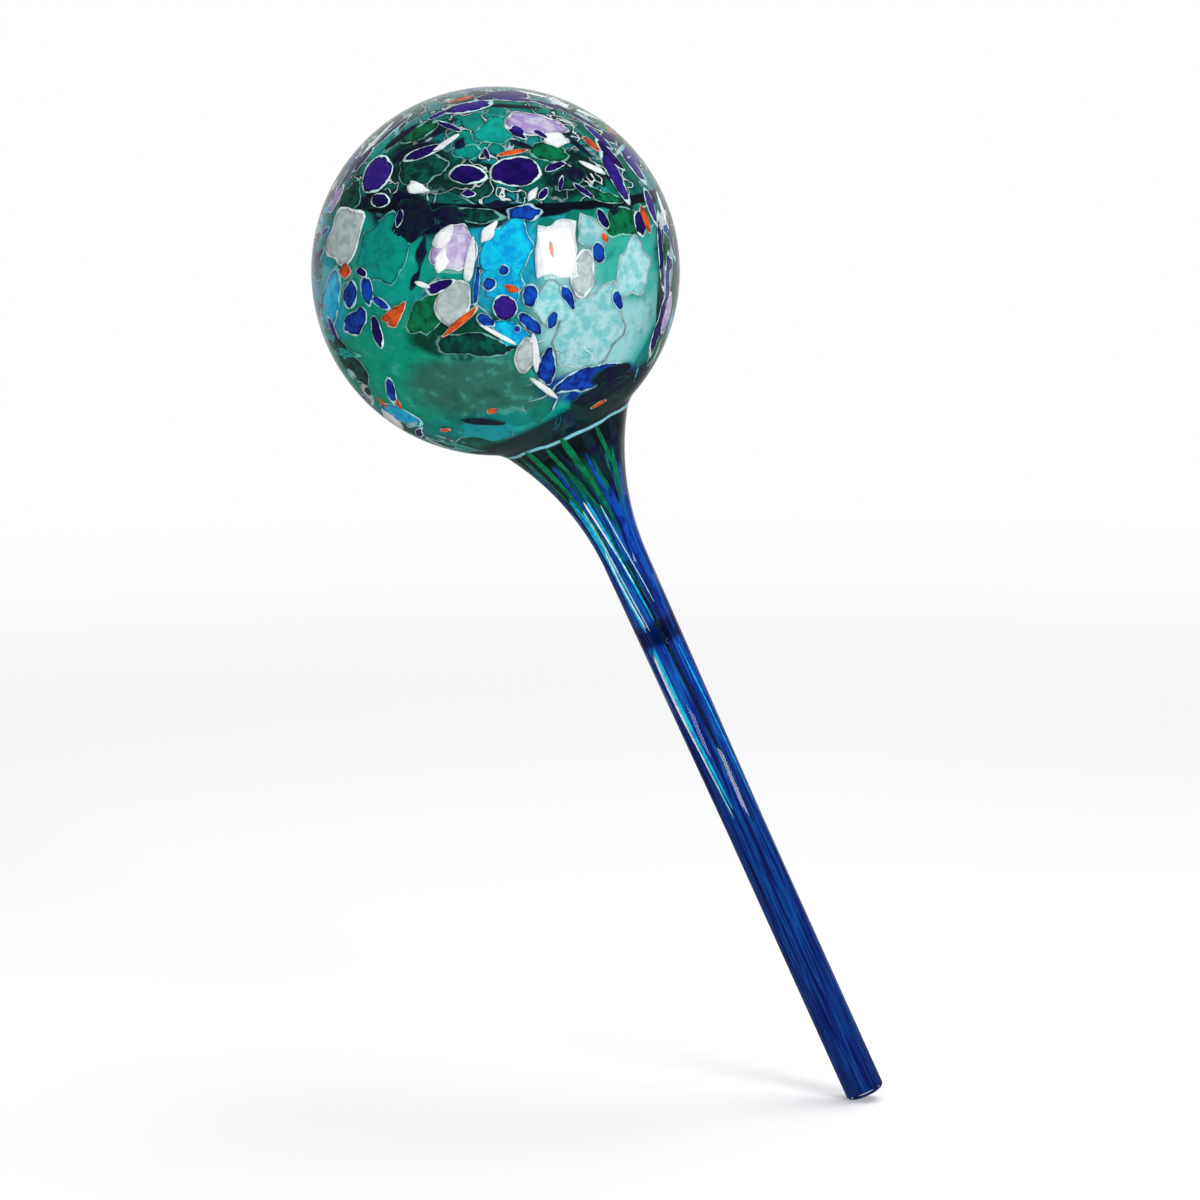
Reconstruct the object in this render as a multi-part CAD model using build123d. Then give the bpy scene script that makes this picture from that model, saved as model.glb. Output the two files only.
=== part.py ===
from build123d import *
import os
from math import atan2, cos, degrees, radians, sin, sqrt

# A hand-blown watering globe, filled and pushed into a plant pot at a slant. A gather of teal glass is
# rolled over chips of coloured glass, which sink in flush, then blown round and drawn out into a long
# neck with a cobalt sheath, to which the hollow stem is fused. Water sinks out of the stem as the soil
# dries, and air rises into the bulb.
# The origin is where the stem's axis meets the soil. +Z is up, -Y faces the viewer, and the stem
# leans from the bulb at -X down to its tip at +X. Lengths are in millimetres, angles in degrees.

# How it stands
lean_angle = 24            # the stem's slant from upright
stem_above_soil = 171      # from the soil up the axis to the middle of the bulb
stem_below_soil = 85       # from the soil down the axis to the tip
sight_tilt = 10            # how steeply the front view, in which the chips are placed, looks down

# Bulb
bulb_radius = 51

# Neck and stem, from the bulb down
neck_length = 38           # from the lowest point of the round bulb to the end of the neck's curve
neck_fillet_radius = 10    # the crease between bulb and neck
neck_curve_radius = 75     # the neck's own hollow curve
neck_tail_length = 20      # drawn on as a tube, to where the stem tube is fused on
stem_top_radius = 6.3
stem_radius = 5.5          # below the soil, where the taper has ended

# Glass
wall = 2.4
bore_radius = 3.1          # up the stem
bore_opening_rise = 11.6   # from the end of the neck's curve up to where the bore opens into the bulb
inlay_depth = 0.9          # chips, streaks and sheath, flush with the outside

# Outlet, fire-polished at the tip
throat_radius = 2.6
throat_length = 12
throat_funnel_length = 2
lip_round = 1.2

# Water, level however the globe leans
water_above_middle = 23

# The cobalt sheath starts on the neck, this far below the lowest point of the round bulb
sheath_drop = 1

# One overrun for every cut that has to pass a surface
overrun = 5

# Chips: colour, place right and up in the front view, half length, half width (shares of the bulb's
# radius), turn of the length from level (degrees), corners
chip_place_shares = [
    ("navy", 0.12, 0.49, 0.135, 0.085, 0, 8),
    ("navy", -0.14, 0.47, 0.100, 0.055, 10, 6),
    ("navy", -0.42, 0.19, 0.130, 0.090, 80, 6),
    ("navy", 0.44, -0.70, 0.230, 0.050, 22, 6),
    ("navy", -0.76, -0.16, 0.060, 0.040, 80, 6),
    ("navy", -0.65, -0.34, 0.075, 0.030, 75, 4),
    ("violet", -0.64, 0.50, 0.100, 0.080, 60, 8),
    ("violet", 0.66, 0.46, 0.100, 0.035, -50, 4),
    ("violet", 0.05, -0.24, 0.080, 0.065, 80, 8),
    ("violet", -0.14, 0.84, 0.110, 0.030, 5, 4),
    ("lilac", 0.19, 0.74, 0.145, 0.080, -15, 6),
    ("lilac", -0.21, 0.10, 0.120, 0.090, 70, 6),
    ("white", 0.34, 0.08, 0.150, 0.110, 85, 4),
    ("white", -0.40, 0.40, 0.075, 0.050, 20, 4),
    ("white", 0.17, -0.47, 0.100, 0.045, 75, 6),
    ("grey", -0.81, 0.16, 0.140, 0.080, 75, 4),
    ("grey", 0.48, -0.12, 0.130, 0.060, 80, 6),
    ("grey", -0.22, -0.20, 0.130, 0.085, 80, 6),
    ("cyan", 0.09, 0.05, 0.165, 0.120, 80, 6),
    ("cyan", -0.89, -0.20, 0.130, 0.045, 80, 4),
    ("cyan", 0.36, 0.40, 0.120, 0.080, -25, 6),
    ("aqua", 0.56, -0.39, 0.210, 0.150, 60, 8),
    ("aqua", 0.77, 0.02, 0.150, 0.090, 85, 6),
    ("aqua", 0.02, -0.82, 0.180, 0.050, 0, 4),
    ("emerald", -0.38, 0.56, 0.120, 0.090, 0, 6),
    ("emerald", 0.68, 0.25, 0.075, 0.065, 45, 6),
    ("emerald", -0.50, -0.56, 0.190, 0.120, -50, 6),
    ("emerald", -0.40, -0.24, 0.110, 0.080, 60, 6),
    ("emerald", -0.10, -0.58, 0.200, 0.110, -5, 8),
    ("cobalt", 0.20, 0.28, 0.110, 0.045, 10, 6),
    ("cobalt", 0.19, -0.20, 0.065, 0.045, 70, 6),
    ("cobalt", 0.29, -0.38, 0.110, 0.050, 60, 4),
    ("cobalt", 0.63, -0.10, 0.060, 0.035, 80, 6),
    ("orange", -0.16, -0.35, 0.120, 0.025, 38, 4),
    ("orange", -0.58, -0.18, 0.100, 0.060, 70, 4),
    ("orange", 0.11, -0.150, 0.045, 0.020, 20, 4),
    ("orange", 0.84, 0.25, 0.080, 0.030, 75, 4),
    ("orange", 0.52, 0.62, 0.070, 0.030, -40, 4),
]
# The glassworker rolls the bubble over the same tray again, so the chips repeat at these turns
chip_turns = (0, 180)

# Streaks in the sheath: colour, turn about the axis, width (degrees), start and end (shares of the
# way from the sheath's top down to the soil)
streak_shares = [
    ("navy", 200, 30, 0.00, 0.93),
    ("navy", 338, 26, 0.05, 0.98),
    ("navy", 90, 34, 0.00, 0.80),
    ("emerald", 232, 22, 0.00, 0.58),
    ("emerald", 305, 24, 0.02, 0.90),
    ("emerald", 50, 28, 0.00, 0.95),
    ("aqua", 262, 14, 0.10, 0.96),
    ("aqua", 140, 18, 0.04, 0.75),
]

# Derived places
tip_level = -stem_below_soil
lip_level = tip_level + lip_round
throat_top_level = lip_level + throat_length
funnel_top_level = throat_top_level + throat_funnel_length
bulb_bottom_level = stem_above_soil - bulb_radius
sheath_top_level = bulb_bottom_level - sheath_drop
stem_top_level = bulb_bottom_level - neck_length
tube_top_level = stem_top_level - neck_tail_length
bore_opening_level = stem_top_level + bore_opening_rise
stance = Location((0, 0, 0), (0, -lean_angle, 0))
bulb_middle = (stance * Location((0, 0, stem_above_soil))).position
stem_line = Axis(bulb_middle, bulb_middle)


def on_circle(middle, radius, angle):
    """The point of a circle at an angle from level."""
    return (middle[0] + radius * cos(radians(angle)), middle[1] + radius * sin(radians(angle)))


def angle_to(start, end):
    """The angle from level of the line from one point to another."""
    return degrees(atan2(end[1] - start[1], end[0] - start[0]))


def circles_meet(first, first_radius, second, second_radius):
    """The crossing of two circles on the left of the line from the first middle to the second."""
    across = second[0] - first[0]
    up = second[1] - first[1]
    apart = sqrt(across ** 2 + up ** 2)
    along = (first_radius ** 2 - second_radius ** 2 + apart ** 2) / (2 * apart)
    aside = sqrt(first_radius ** 2 - along ** 2)
    return (first[0] + (along * across - aside * up) / apart,
            first[1] + (along * up + aside * across) / apart)


def arc(middle, radius, start, end):
    """An arc between two angles."""
    return ThreePointArc(on_circle(middle, radius, start),
                         on_circle(middle, radius, (start + end) / 2),
                         on_circle(middle, radius, end))


def outline(depth):
    """The half outline at a depth in the glass, from the top of the bulb down to the lip.

    The arcs keep their middles at every depth, so the skin between two depths is evenly thick.
    """
    bulb_centre = (0, stem_above_soil)
    taper_angle = degrees(atan2(stem_top_radius - stem_radius, stem_top_level))
    neck_centre = on_circle((stem_top_radius, stem_top_level), neck_curve_radius, -taper_angle)
    fillet_centre = circles_meet(neck_centre, neck_curve_radius - neck_fillet_radius,
                                 bulb_centre, bulb_radius + neck_fillet_radius)
    bulb_end = angle_to(bulb_centre, fillet_centre)
    fillet_end = angle_to(neck_centre, fillet_centre)
    bulb = arc(bulb_centre, bulb_radius - depth, 90, bulb_end)
    fillet = arc(fillet_centre, neck_fillet_radius + depth, bulb_end + 180, fillet_end)
    neck = arc(neck_centre, neck_curve_radius + depth, fillet_end, 180 - taper_angle)
    taper = Line(neck @ 1, (stem_radius - depth, 0))
    straight = Line(taper @ 1, (stem_radius - depth, lip_level))
    return [bulb, fillet, neck, taper, straight]


def hollow():
    """The half outline of the hollow, from the top of the bulb down the bore to the funnel."""
    bulb_centre = (0, stem_above_soil)
    inner_radius = bulb_radius - wall
    drop = stem_above_soil - bore_opening_level
    curve_radius = (drop ** 2 + bore_radius ** 2 - inner_radius ** 2) / (2 * (inner_radius - bore_radius))
    curve_centre = (bore_radius + curve_radius, bore_opening_level)
    bulb_end = angle_to(bulb_centre, curve_centre)
    bulb = arc(bulb_centre, inner_radius, 90, bulb_end)
    curve = arc(curve_centre, curve_radius, bulb_end + 180, 180)
    return [bulb, curve, Line(curve @ 1, (bore_radius, funnel_top_level))]


def turned(edges):
    """The solid of revolution of a closed half outline."""
    return revolve(Plane.XZ * make_face(Wire(edges)), axis=Axis.Z)


def make_glass():
    """The blown wall and the tube in one, closed in at the tip to a narrow throat with a rounded lip."""
    outer = outline(0)
    inner = hollow()
    outer_lip = arc((stem_radius - lip_round, lip_level), lip_round, 0, -90)
    inner_lip = arc((throat_radius + lip_round, lip_level), lip_round, -90, -180)
    throat = Line(inner_lip @ 1, (throat_radius, throat_top_level))
    tip = [outer_lip, Line(outer_lip @ 1, inner_lip @ 0), inner_lip, throat, Line(throat @ 1, inner[-1] @ 1)]
    return turned(outer + tip + inner + [Line(inner[0] @ 0, outer[0] @ 0)])


def make_skin():
    """The outermost glass, as deep as the inlays."""
    outer = outline(0)
    inner = outline(inlay_depth)
    return turned(outer + [Line(outer[-1] @ 1, inner[-1] @ 1)] + inner + [Line(inner[0] @ 0, outer[0] @ 0)])


def make_water():
    """The water charge, from the funnel up to a level surface in the bulb."""
    side = hollow()
    bottom = Line(side[-1] @ 1, (0, funnel_top_level))
    full = stance * turned(side + [bottom, Line(bottom @ 1, side[0] @ 0)])
    surface = Plane(bulb_middle + Vector(0, 0, water_above_middle))
    return split(full, bisect_by=surface, keep=Keep.BOTTOM)


def sight_direction(right, up):
    """The direction from the bulb's middle to a point of its near side, seen at these shares."""
    near = sqrt(1 - right ** 2 - up ** 2)
    slope = radians(sight_tilt)
    return Vector(right, up * sin(slope) - near * cos(slope), up * cos(slope) + near * sin(slope))


def chip_cutter(right, up, half_length, half_width, turn, corners, stem_turn):
    """A pyramid from the bulb's middle whose walls cut a chip's outline out of the layer."""
    slant = radians(turn)
    rays = []
    for corner in range(corners):
        swing = radians(360 * corner / corners)
        along = half_length * cos(swing)
        aside = half_width * sin(swing)
        ray = sight_direction(right + along * cos(slant) - aside * sin(slant),
                              up + along * sin(slant) + aside * cos(slant))
        rays.append(ray.rotate(stem_line, stem_turn))
    facing = sight_direction(right, up).rotate(stem_line, stem_turn)
    reach = bulb_radius + overrun
    rim = [bulb_middle + ray * (reach / ray.dot(facing)) for ray in rays]
    return loft([Vertex(*bulb_middle), Face(Wire.make_polygon(rim))], ruled=True)


def add_chips(inlays, skin):
    """Cut the chips out of the bulb's skin, and add each to those of its colour."""
    for stem_turn in chip_turns:
        for colour, *place in chip_place_shares:
            chip = skin & chip_cutter(*place, stem_turn)
            inlays.setdefault(colour, []).extend(chip.solids())


def add_streaks(inlays, sheath):
    """Cut the streaks out of the sheath, add each to its colour, and give what is left of the sheath."""
    for colour, turn, width, start, end in streak_shares:
        near = on_circle((0, 0), bulb_radius, turn - width / 2)
        far = on_circle((0, 0), bulb_radius, turn + width / 2)
        top = Plane((0, 0, sheath_top_level * (1 - start)))
        cutter = extrude(top * make_face(Polyline((0, 0), near, far, close=True)),
                         -sheath_top_level * (end - start))
        inlays.setdefault(colour, []).extend((stance * (sheath & cutter)).solids())
        sheath = sheath - cutter
    return sheath


def write(name, solids):
    """One file for a node, with its solids kept apart."""
    export_step(Compound(solids), "parts/" + name + ".step")


os.makedirs("parts", exist_ok=True)
skin = make_skin()
sheath_top = Plane((0, 0, sheath_top_level))
inlays = {}
add_chips(inlays, stance * split(skin, bisect_by=sheath_top, keep=Keep.TOP))
sheath = add_streaks(inlays, split(skin, bisect_by=sheath_top, keep=Keep.BOTTOM))
sheath = stance * sheath
sunk = [sheath] + [inlay for group in inlays.values() for inlay in group]
glass = make_glass()
tube_top = Plane((0, 0, tube_top_level))
write("glass_body", (stance * split(glass, bisect_by=tube_top, keep=Keep.TOP) - sunk).solids())
write("stem_tube", (stance * split(glass, bisect_by=tube_top, keep=Keep.BOTTOM) - sunk).solids())
write("cobalt_sheath", sheath.solids())
write("water_charge", make_water().solids())
for colour, group in inlays.items():
    write(colour + "_inlays", group)
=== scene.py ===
import bmesh
import bpy
import random
from math import atan2, cos, hypot, pi, radians, sin, sqrt
from mathutils import Matrix, Vector


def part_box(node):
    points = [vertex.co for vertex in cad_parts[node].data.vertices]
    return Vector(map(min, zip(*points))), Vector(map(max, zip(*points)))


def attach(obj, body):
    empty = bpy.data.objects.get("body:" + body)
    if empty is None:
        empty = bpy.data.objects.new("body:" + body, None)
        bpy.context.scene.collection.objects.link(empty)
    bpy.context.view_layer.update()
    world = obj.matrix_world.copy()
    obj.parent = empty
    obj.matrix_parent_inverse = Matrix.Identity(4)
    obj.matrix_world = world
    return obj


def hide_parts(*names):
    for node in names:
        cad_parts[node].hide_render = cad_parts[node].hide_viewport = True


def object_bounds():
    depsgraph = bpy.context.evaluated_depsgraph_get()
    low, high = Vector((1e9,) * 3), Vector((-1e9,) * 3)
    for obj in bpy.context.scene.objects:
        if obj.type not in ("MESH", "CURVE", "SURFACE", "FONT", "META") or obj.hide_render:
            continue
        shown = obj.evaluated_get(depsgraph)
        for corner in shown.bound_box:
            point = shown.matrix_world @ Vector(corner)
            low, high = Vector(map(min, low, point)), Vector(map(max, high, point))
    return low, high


# A blown glass watering globe, full of water and leaning as it does in use. Lengths are in metres, and the
# origin lies on the stem's axis, at the height up to which the stem is held.
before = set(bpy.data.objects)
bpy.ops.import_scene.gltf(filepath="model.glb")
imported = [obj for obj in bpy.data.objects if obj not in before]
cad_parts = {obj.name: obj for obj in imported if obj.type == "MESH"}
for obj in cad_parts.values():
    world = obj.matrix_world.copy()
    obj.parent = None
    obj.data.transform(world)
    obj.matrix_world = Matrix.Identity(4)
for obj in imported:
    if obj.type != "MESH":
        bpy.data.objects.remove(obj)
cad_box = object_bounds()

# The clear glass of the bulb and neck
# The last gather was clear, so the colours lie a little under a glossy skin. The wall is blown hollow and
# runs on through the neck to the joint, where the stem tube is fused on.
mm = 0.001
glass_low, glass_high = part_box("glass_body")
bulb_radius = (glass_high.y - glass_low.y) / 2
bulb_middle = Vector((glass_low.x + bulb_radius, 0, glass_high.z - bulb_radius))
bulb_level = bulb_middle.length
stem_lean = Matrix.Rotation(atan2(bulb_middle.x, bulb_middle.z), 4, "Y")

neck_length = 38 * mm
neck_fillet_radius = 10 * mm
neck_curve_radius = 75 * mm
neck_tail_length = 20 * mm
stem_top_radius = 6.3 * mm
stem_radius = 5.5 * mm
stem_below_origin = 85 * mm
wall = 2.4 * mm
bore_radius = 3.1 * mm
bore_opening_rise = 11.6 * mm
throat_radius = 2.6 * mm
throat_length = 12 * mm
throat_funnel_length = 2 * mm
lip_round = 1.2 * mm

stem_top_level = bulb_level - bulb_radius - neck_length
joint_level = stem_top_level - neck_tail_length
tip_level = -stem_below_origin
lip_level = tip_level + lip_round
throat_top_level = lip_level + throat_length
funnel_top_level = throat_top_level + throat_funnel_length
merge_distance = 0.001 * mm
steps_round = 128
bulb_steps, fillet_steps, neck_steps, opening_steps, lip_steps = 84, 10, 20, 16, 6


def angle_to(start, end):
    """The angle from level of the line from one point of the half outline to another."""
    return atan2(end[1] - start[1], end[0] - start[0])


def circles_meet(first, first_radius, second, second_radius):
    """The crossing of two circles on the left of the line from the first middle to the second."""
    across, up = second[0] - first[0], second[1] - first[1]
    apart = hypot(across, up)
    along = (first_radius ** 2 - second_radius ** 2 + apart ** 2) / (2 * apart)
    aside = sqrt(first_radius ** 2 - along ** 2)
    return (first[0] + (along * across - aside * up) / apart,
            first[1] + (along * up + aside * across) / apart)


bulb_centre = (0, bulb_level)
taper_angle = atan2(stem_top_radius - stem_radius, stem_top_level)
neck_centre = (stem_top_radius + neck_curve_radius * cos(taper_angle),
               stem_top_level - neck_curve_radius * sin(taper_angle))
fillet_centre = circles_meet(neck_centre, neck_curve_radius - neck_fillet_radius,
                             bulb_centre, bulb_radius + neck_fillet_radius)
bulb_end_angle = angle_to(bulb_centre, fillet_centre)
fillet_end_angle = angle_to(neck_centre, fillet_centre)
bore_opening_level = stem_top_level + bore_opening_rise
hollow_radius = bulb_radius - wall
hollow_reach = bulb_level - bore_opening_level
bore_curve_radius = ((hollow_reach ** 2 + bore_radius ** 2 - hollow_radius ** 2)
                     / (2 * (hollow_radius - bore_radius)))
bore_curve_centre = (bore_radius + bore_curve_radius, bore_opening_level)
hollow_end_angle = angle_to(bulb_centre, bore_curve_centre)


def run_to(bm, end, radius, level):
    """Draws the half outline on in a straight line and returns its new end."""
    made = bmesh.ops.extrude_vert_indiv(bm, verts=[end])["verts"][0]
    made.co = (radius, 0, level)
    return made


def run_round(bm, end, middle, turn, steps):
    """Draws the half outline on round an arc, clockwise for a positive turn, and returns its new end."""
    made = bmesh.ops.spin(bm, geom=[end], cent=(middle[0], 0, middle[1]), axis=(0, 1, 0),
                          angle=turn, steps=steps)
    return next(item for item in made["geom_last"] if isinstance(item, bmesh.types.BMVert))


def draw_outside(bm, depth):
    """Draws the outside's half outline at a depth in the glass, from the top of the bulb to the lip."""
    end = bm.verts.new((0, 0, bulb_level + bulb_radius - depth))
    end = run_round(bm, end, bulb_centre, pi / 2 - bulb_end_angle, bulb_steps)
    end = run_round(bm, end, fillet_centre, bulb_end_angle + pi - fillet_end_angle, fillet_steps)
    end = run_round(bm, end, neck_centre, fillet_end_angle - pi + taper_angle, neck_steps)
    end = run_to(bm, end, stem_radius - depth, 0)
    return run_to(bm, end, stem_radius - depth, lip_level)


def draw_hollow(bm, end, spread):
    """Draws on up the bore and round the bulb's hollow to its top, wider than the hollow by the spread."""
    end = run_to(bm, end, bore_radius + spread, bore_curve_centre[1])
    end = run_round(bm, end, bore_curve_centre, -hollow_end_angle, opening_steps)
    return run_round(bm, end, bulb_centre, hollow_end_angle - pi / 2, bulb_steps)


def turn_solid(bm):
    """Turns the half outline about the stem's axis into a closed skin."""
    bmesh.ops.spin(bm, geom=list(bm.verts) + list(bm.edges), cent=(0, 0, 0), axis=(0, 0, 1),
                   angle=2 * pi, steps=steps_round, use_merge=True)
    bmesh.ops.remove_doubles(bm, verts=bm.verts, dist=merge_distance)
    bmesh.ops.recalc_face_normals(bm, faces=bm.faces)


def cut_off(bm, spot, outward):
    """Cuts off all that lies outward of a spot and returns what lies on the open cut."""
    everything = list(bm.verts) + list(bm.edges) + list(bm.faces)
    cut = bmesh.ops.bisect_plane(bm, geom=everything, dist=0, plane_co=spot, plane_no=outward,
                                 clear_outer=True)
    return cut["geom_cut"]


def keep_levels(bm, low, high):
    """Cuts the upright shape off square below and above, leaving the cuts open."""
    cut_off(bm, (0, 0, low), (0, 0, -1))
    cut_off(bm, (0, 0, high), (0, 0, 1))


def close_rings(bm):
    """Closes each ring-shaped opening between an outer and an inner loop."""
    open_edges = [edge for edge in bm.edges if edge.is_boundary]
    levels = sorted({round(edge.verts[0].co.z, 6) for edge in open_edges})
    for level in levels:
        loops = [edge for edge in open_edges if round(edge.verts[0].co.z, 6) == level]
        bmesh.ops.bridge_loops(bm, edges=loops)
    bmesh.ops.recalc_face_normals(bm, faces=bm.faces)


def finish_piece(bm, name, material, slot, *nodes, lean=True):
    """Leans the shape as the globe stands and makes it a smooth piece that stands for CAD nodes."""
    if lean:
        bmesh.ops.transform(bm, matrix=stem_lean, verts=bm.verts)
    mesh = bpy.data.meshes.new(name)
    bm.to_mesh(mesh)
    bm.free()
    mesh.polygons.foreach_set("use_smooth", [True] * len(mesh.polygons))
    mesh.materials.append(material)
    piece = bpy.data.objects.new(name, mesh)
    bpy.context.scene.collection.objects.link(piece)
    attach(piece, "root")
    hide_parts(*nodes)
    return piece


def see_through(piece):
    """Lets lamps shine in through a clear piece, which only bends what is seen through it."""
    piece.visible_shadow = False
    piece.visible_diffuse = False


def new_material(name):
    """A new material, with its node tree and its shader."""
    material = bpy.data.materials.new(name)
    material.use_nodes = True
    tree = material.node_tree
    return material, tree, tree.nodes["Principled BSDF"]


def add(tree, kind, settings=None, **inputs):
    """Adds a shader node. Its inputs are set or linked by name, or by number after an i, as in i0."""
    made = tree.nodes.new("ShaderNode" + kind)
    for name, value in (settings or {}).items():
        setattr(made, name, value)
    for name, value in inputs.items():
        socket = made.inputs[int(name[1:]) if name[1:].isdigit() else name]
        if isinstance(value, bpy.types.NodeSocket):
            tree.links.new(value, socket)
        elif socket.type == "RGBA":
            socket.default_value = (*value[:3], 1)
        else:
            socket.default_value = value
    return made


def place_from_bulb(tree):
    """Object coordinates in millimetres from the middle of the bulb."""
    spot = add(tree, "TexCoord").outputs["Object"]
    moved = add(tree, "Mapping", Vector=spot, Location=-bulb_middle / mm, Scale=(1 / mm,) * 3)
    return moved.outputs["Vector"]


def noise(tree, spot, scale, detail=2.0, roughness=0.5):
    """Soft cloudy values over the coordinates."""
    return add(tree, "TexNoise", Vector=spot, Scale=scale, Detail=detail, Roughness=roughness).outputs["Fac"]


def mix(tree, factor, first, second, blend="MIX"):
    """A mix of two colours."""
    made = add(tree, "Mix", {"data_type": "RGBA", "blend_type": blend}, i0=factor, i6=first, i7=second)
    return made.outputs[2]


def let_light_through(shader, clearness, roughness, index):
    """Sets how much light passes the glass, how rough the glass is and how much it bends light."""
    shader.inputs["Transmission Weight"].default_value = clearness
    shader.inputs["Roughness"].default_value = roughness
    shader.inputs["IOR"].default_value = index


def make_clear_glass(name, tint, index):
    """Clear glass or water, tinted a little, with the faint waves of a blown or still surface."""
    material, tree, shader = new_material(name)
    wave = noise(tree, place_from_bulb(tree), 0.045, 1.0)
    deeper_tint = [part ** 1.6 for part in tint]
    tree.links.new(mix(tree, wave, tint, deeper_tint), shader.inputs["Base Color"])
    bump = add(tree, "Bump", Strength=0.10, Distance=1.2 * mm, Height=wave)
    tree.links.new(bump.outputs["Normal"], shader.inputs["Normal"])
    let_light_through(shader, 1, 0, index)
    return material


clear_tint = (0.93, 0.985, 0.98)
clear_index = 1.5
clear_glass = make_clear_glass("clear_glass", clear_tint, clear_index)


def make_wall():
    """The whole wall, upright, from the top of the bulb to the rounded lip and up the bore again."""
    bm = bmesh.new()
    end = draw_outside(bm, 0)
    end = run_round(bm, end, (stem_radius - lip_round, lip_level), pi / 2, lip_steps)
    end = run_to(bm, end, throat_radius + lip_round, tip_level)
    end = run_round(bm, end, (throat_radius + lip_round, lip_level), pi / 2, lip_steps)
    end = run_to(bm, end, throat_radius, throat_top_level)
    end = run_to(bm, end, bore_radius, funnel_top_level)
    draw_hollow(bm, end, 0)
    turn_solid(bm)
    return bm


joint_overlap = 0.02 * mm
globe_top = bulb_level + bulb_radius
bm = make_wall()
keep_levels(bm, joint_level - joint_overlap, globe_top + wall)
close_rings(bm)
see_through(finish_piece(bm, "clear_bulb_and_neck", clear_glass, "teal", "glass_body"))

# The clear glass of the stem tube
# A drawn tube fused to the neck's end. Its tip is fire-polished round and narrows to a throat that lets the
# water out slowly.
bm = make_wall()
keep_levels(bm, tip_level - wall, joint_level)
close_rings(bm)
see_through(finish_piece(bm, "clear_stem_tube", clear_glass, "teal", "stem_tube"))

# The teal gather
# The colour of the bulb: a thin layer of teal glass under the chips, marbled with emerald and turquoise
# where it took up fine crushed glass, each grain melted out to a patch with a pale edge.
gather_depth = 1.05 * mm
gather_thickness = 0.7 * mm
gather_end_drop = 51.9 * mm
gather_clearness = 0.45
gather_roughness = 0.15
water_above_middle = 23 * mm

# A layer of colour lies inside the wall, so it hardly bends light of its own
layer_index = 1.02


def make_layer(depth, thickness, low, high):
    """A layer of colour in the glass, evenly thick, between two levels, with closed ends."""
    bm = bmesh.new()
    draw_outside(bm, depth)
    draw_outside(bm, depth + thickness)
    turn_solid(bm)
    keep_levels(bm, low, high)
    close_rings(bm)
    return bm


def ramp(tree, factor, stops, interpolation="LINEAR"):
    """A colour ramp from (place, colour) stops."""
    made = add(tree, "ValToRGB", Fac=factor)
    made.color_ramp.interpolation = interpolation
    elements = made.color_ramp.elements
    while len(elements) < len(stops):
        elements.new(0.5)
    for element, (place, colour) in zip(elements, stops):
        element.position = place
        element.color = (*colour, 1)
    return made.outputs["Color"]


def work_out(tree, operation, *values):
    """The result of an operation on one to three values."""
    inputs = {"i" + str(number): value for number, value in enumerate(values)}
    return add(tree, "Math", {"operation": operation}, **inputs).outputs[0]


def between(tree, value, low, high, start=0.0, end=1.0):
    """A value brought smoothly from one range to another, and held at its ends."""
    made = add(tree, "MapRange", {"interpolation_type": "SMOOTHSTEP"}, Value=value, i1=low, i2=high,
               i3=start, i4=end)
    return made.outputs[0]


def bent(tree, spot, scale, reach):
    """Coordinates pushed about by noise, so that what they carry looks melted."""
    push = add(tree, "TexNoise", Vector=spot, Scale=scale, Detail=1.5)
    centred = add(tree, "VectorMath", {"operation": "SUBTRACT"}, i0=push.outputs["Color"], i1=(0.5,) * 3)
    grown = add(tree, "VectorMath", {"operation": "SCALE"}, i0=centred.outputs[0], Scale=reach)
    moved = add(tree, "VectorMath", {"operation": "ADD"}, i0=spot, i1=grown.outputs[0])
    return moved.outputs[0]


# The front view, in which patches and chips are placed, looks down this steeply
sight_tilt = radians(10)


def sight_direction(right, up):
    """The direction from the bulb's middle to a point of its near side, seen at these shares."""
    reach = hypot(right, up)
    most = 0.985
    if reach > most:
        right, up = right * most / reach, up * most / reach
    near = sqrt(1 - right ** 2 - up ** 2)
    return Vector((right, up * sin(sight_tilt) - near * cos(sight_tilt),
                   up * cos(sight_tilt) + near * sin(sight_tilt)))


def soft_spot(tree, spot, right, up, half_width, half_height):
    """A mask that fades out from a place of the near side, with sizes in shares of the bulb's radius."""
    radius = bulb_radius / mm
    half_depth = 0.6
    scale = Vector((1 / half_width, 1 / half_depth, 1 / half_height)) / radius
    middle = sight_direction(right, up) * radius
    shifted = add(tree, "VectorMath", {"operation": "SUBTRACT"}, i0=spot, i1=middle).outputs[0]
    scaled = add(tree, "VectorMath", {"operation": "MULTIPLY"}, i0=shifted, i1=scale).outputs[0]
    reach = add(tree, "VectorMath", {"operation": "LENGTH"}, i0=scaled).outputs["Value"]
    return between(tree, reach, 0.75, 1.15, 1.0, 0.0)


ground_tints = [
    (0.00, (0.001, 0.260, 0.190)),
    (0.20, (0.003, 0.430, 0.330)),
    (0.38, (0.001, 0.300, 0.280)),
    (0.54, (0.006, 0.500, 0.430)),
    (0.72, (0.001, 0.120, 0.080)),
    (0.86, (0.008, 0.420, 0.480)),
]
pale_edge = (0.60, 0.95, 0.95)
white_curl = (0.85, 0.96, 0.96)
night = (0.001, 0.004, 0.012)
cloud_shade = (0.20, 0.40, 0.42)
cloud_light = (0.120, 0.720, 0.600)
air_shade = (0.55, 0.70, 0.74)

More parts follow.
